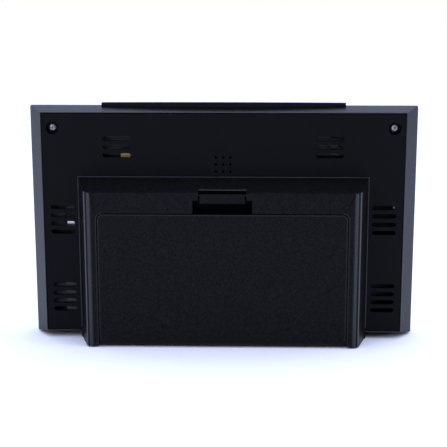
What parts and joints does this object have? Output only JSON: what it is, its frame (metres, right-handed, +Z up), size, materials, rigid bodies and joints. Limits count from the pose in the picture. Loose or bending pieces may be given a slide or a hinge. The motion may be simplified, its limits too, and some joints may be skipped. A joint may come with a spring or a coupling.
{
  "type": "digital photo frame",
  "caption": "Desk-standing digital photo frame with a tapered rim, vented rear cover, hinged battery door on a rear box that doubles as its stand, and a long push bar on top.",
  "frame": {"origin": "centre of the bounding box's underside: the point of the desk midway between the feet's outer faces and the case's sides", "axes": "+X along the display's width, to the right for someone looking along +Y at the display; -Y is the way the display faces, +Y the back with the battery door; +Z up"},
  "size_m": [0.2036, 0.0436, 0.1268],
  "materials": {
    "case_black": "satin moulded black, slightly blue where it catches light",
    "cover_black": "satin moulded black",
    "grained_black": "fine spark-eroded grain, black",
    "window_black": "polished acrylic with a black printed border",
    "rubber": "matt black",
    "foam": "closed-cell foam strip",
    "display_glass": "dark, switched-off display",
    "tray_white": "white reflector tray",
    "steel": "zinc-plated",
    "capacitor_can": "drawn can",
    "nickel": "nickel-plated spring steel",
    "board_green": "green solder mask on glass-fibre board",
    "chip_black": "moulded epoxy",
    "capacitor_yellow": "moulded yellow epoxy",
    "terminal_grey": "grey moulded nylon",
    "speaker_cone": "coated paper cone in a plastic basket",
    "cell_sleeve": "printed-free sleeve over a steel can",
    "ribbon_amber": "polyimide ribbon",
    "lead_red": "PVC insulation",
    "lead_black": "PVC insulation"
  },
  "bodies": {
    "case": {"front_bezel": "case_black", "rear_cover": "cover_black", "battery_box": "grained_black", "display_window": "window_black", "foot_front_left": "rubber", "foot_front_right": "rubber", "foot_rear_left": "rubber", "foot_rear_right": "rubber", "dust_gasket": "foam", "display_panel": "display_glass", "backlight_tray": "tray_white", "display_bracket_left": "steel", "display_bracket_right": "steel", "press_switch_left": "steel", "press_switch_middle": "steel", "press_switch_right": "steel", "timing_crystal": "steel", "power_coil": "steel", "cover_screw_left": "steel", "cover_screw_right": "steel", "bracket_screw_low_left": "steel", "bracket_screw_high_left": "steel", "bracket_screw_low_right": "steel", "bracket_screw_high_right": "steel", "box_screw_low_left": "steel", "box_screw_high_left": "steel", "box_screw_low_right": "steel", "box_screw_high_right": "steel", "board_screw_1": "steel", "board_screw_2": "steel", "side_board_screw_1": "steel", "side_board_screw_2": "steel", "smoothing_capacitor": "capacitor_can", "contact_spring_1": "nickel", "contact_spring_2": "nickel", "contact_link": "nickel", "contact_minus": "nickel", "contact_plus": "nickel", "switch_board": "board_green", "main_board": "board_green", "side_board": "board_green", "processor_chip": "chip_black", "memory_chip": "chip_black", "regulator_chip": "chip_black", "filter_capacitor": "capacitor_yellow", "terminal_block": "terminal_grey", "speaker": "speaker_cone", "battery_cell_1": "cell_sleeve", "battery_cell_2": "cell_sleeve", "battery_cell_3": "cell_sleeve", "battery_cell_4": "cell_sleeve", "display_ribbon": "ribbon_amber", "battery_lead_red": "lead_red", "battery_lead_black": "lead_black"},
    "door": {"battery_door": "grained_black"},
    "latch": {"door_latch": "grained_black"},
    "bar": {"control_bar": "case_black"}
  },
  "joints": [
    {"name": "door_hinge", "type": "hinge", "parent": "case", "child": "door", "pos_m": [0, 0.01422, 0.00428], "axis": [-1, 0, 0], "range_deg": [0, 80]},
    {"name": "latch_press", "type": "slide", "parent": "door", "child": "latch", "axis": [0, -0.0523, -0.9986], "range_m": [0, 0.0013], "stiffness_N_per_m": 2500},
    {"name": "bar_press", "type": "slide", "parent": "case", "child": "bar", "axis": [0, -0.0523, -0.9986], "range_m": [0, 0.001], "stiffness_N_per_m": 1500}
  ]
}
